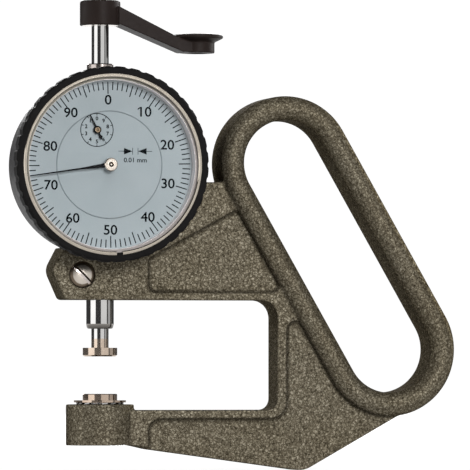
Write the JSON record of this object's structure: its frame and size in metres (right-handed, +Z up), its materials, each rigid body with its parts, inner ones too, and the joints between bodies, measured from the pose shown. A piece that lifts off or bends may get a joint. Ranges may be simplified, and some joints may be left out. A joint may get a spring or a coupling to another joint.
{
  "type": "dial thickness gauge",
  "caption": "Hand-held dial thickness gauge: cast frame with slanted loop handle, lever-lifted spindle over a fixed anvil, turning bezel, main pointer and small counter hand.",
  "frame": {"origin": "middle of the anvil's measuring face, on the spindle's axis", "axes": "+Z up along the spindle's axis, +X from the spindle to the handle, the dial faces -Y"},
  "size_m": [0.1319, 0.029, 0.137],
  "materials": {
    "frame_paint": "olive-brown hammertone paint on a casting",
    "nickel": "turned and nickel-plated, slightly warm",
    "steel": "plain turned steel",
    "blue_steel": "blued spring steel",
    "chrome": "ground and polished",
    "case_black": "smooth dark grey lacquer",
    "rim_black": "satin black",
    "lever_black": "satin brown-black",
    "dial_face": "matte pale blue-grey lacquer with black print",
    "hand_black": "matte black",
    "brass": "turned",
    "window": "clear"
  },
  "bodies": {
    "frame": {"frame_casting": "frame_paint", "clamp_screw": "nickel", "clamp_nut": "nickel", "anvil": "nickel", "anvil_washer": "steel", "dial_case": "case_black", "back_cover": "case_black", "cover_screws": "steel", "stem": "chrome", "lower_bush": "brass", "upper_bush": "chrome", "front_plate": "brass", "plate_screws": "steel", "centre_bridge": "brass", "bridge_pillars": "brass", "bridge_screws": "steel", "rear_bridge": "brass", "rear_bridge_screws": "steel", "inner_dial": "dial_face", "bezel_spring": "steel", "guide_rail": "brass", "spring_post": "steel", "measuring_spring": "steel", "hairspring_stud": "brass"},
    "bezel": {"bezel_rim": "rim_black", "snap_ring": "nickel", "crystal": "window", "scale_ring": "dial_face"},
    "spindle": {"spindle": "chrome", "contact_tip": "nickel", "lifting_lever": "lever_black", "lever_bush": "nickel", "lever_screw": "steel", "guide_pin": "steel"},
    "counter": {"rack_pinion": "steel", "drive_wheel": "brass", "counter_hand": "hand_black", "counter_hub": "brass"},
    "centre": {"centre_pinion": "steel", "pointer": "hand_black", "pointer_hub": "nickel"},
    "takeup": {"takeup_arbor": "steel", "takeup_wheel": "brass", "hairspring": "blue_steel"}
  },
  "joints": [
    {"name": "spindle_slide", "type": "slide", "parent": "frame", "child": "spindle", "axis": [0, 0, 1], "range_m": [-0.01072, 0.0003], "stiffness_N_per_m": 30, "springref_m": -0.045, "deforming": ["measuring_spring"]},
    {"name": "bezel_turn", "type": "hinge", "parent": "frame", "child": "bezel", "pos_m": [0, 0, 0.06546], "axis": [0, 1, 0], "continuous": true},
    {"name": "counter_turn", "type": "hinge", "parent": "frame", "child": "counter", "pos_m": [-0.00362, 0, 0.07538], "axis": [0, 1, 0], "range_deg": [-12, 387]},
    {"name": "pointer_turn", "type": "hinge", "parent": "frame", "child": "centre", "pos_m": [0, 0, 0.06546], "axis": [0, 1, 0], "range_deg": [-3870, 115]},
    {"name": "takeup_turn", "type": "hinge", "parent": "frame", "child": "takeup", "pos_m": [0.00362, 0, 0.05554], "axis": [0, 1, 0], "range_deg": [-12, 387]}
  ],
  "couplings": [
    {"joint": "counter_turn", "follows": "spindle_slide", "rad_per_m": -628.32},
    {"joint": "pointer_turn", "follows": "spindle_slide", "rad_per_m": 6283.2},
    {"joint": "takeup_turn", "follows": "spindle_slide", "rad_per_m": -628.32}
  ]
}
